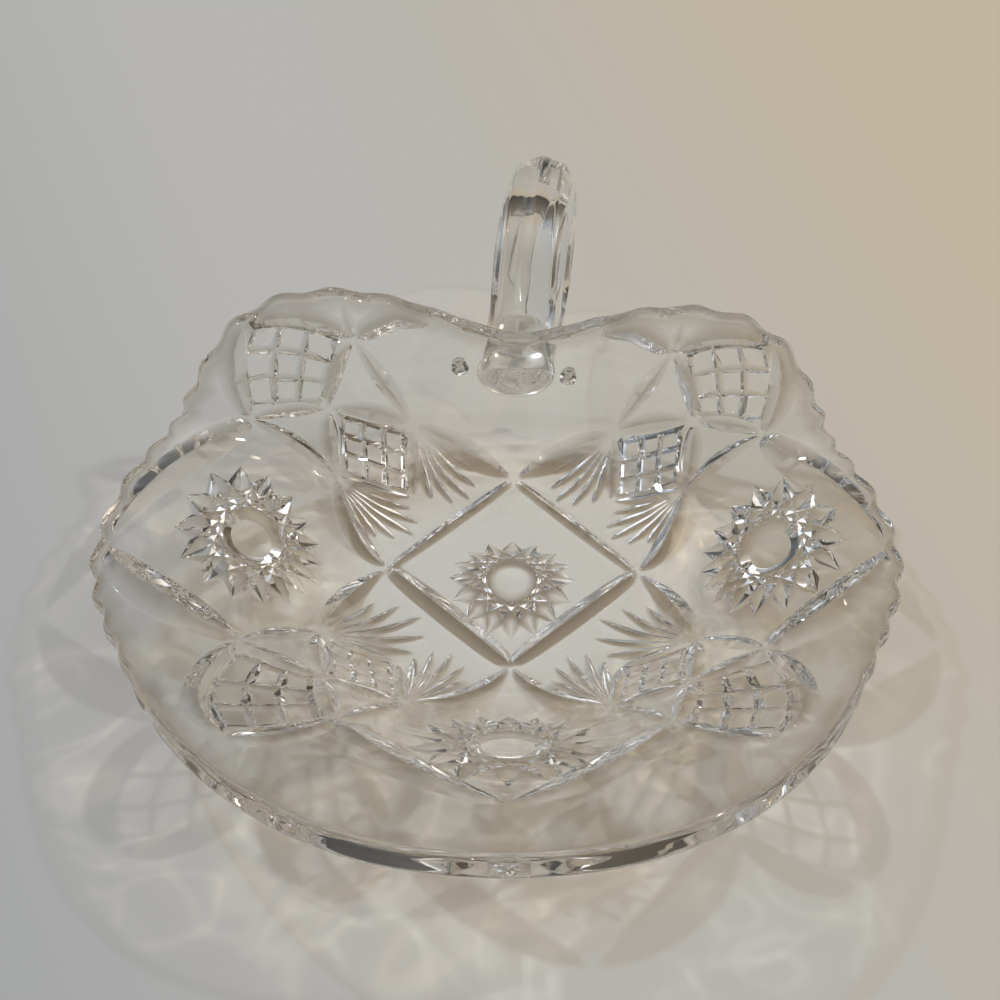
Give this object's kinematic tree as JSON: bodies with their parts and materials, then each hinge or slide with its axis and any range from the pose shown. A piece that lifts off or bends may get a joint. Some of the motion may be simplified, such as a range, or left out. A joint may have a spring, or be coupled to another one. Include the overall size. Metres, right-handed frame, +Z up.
{
  "type": "candy dish",
  "caption": "Shallow clear pressed-glass candy dish with star and mitre pattern underneath, scalloped rim, turned-up back and an applied loop handle.",
  "frame": {"origin": "middle of the flat underside, where the dish rests", "axes": "+Z up, +Y back towards the handle, -Y towards the drawn-out front lip, +X right"},
  "size_m": [0.1446, 0.1718, 0.0452],
  "materials": {
    "clear_glass": "fire-polished clear pressed glass"
  },
  "bodies": {
    "root": {"bowl": "clear_glass", "handle": "clear_glass"}
  },
  "joints": []
}
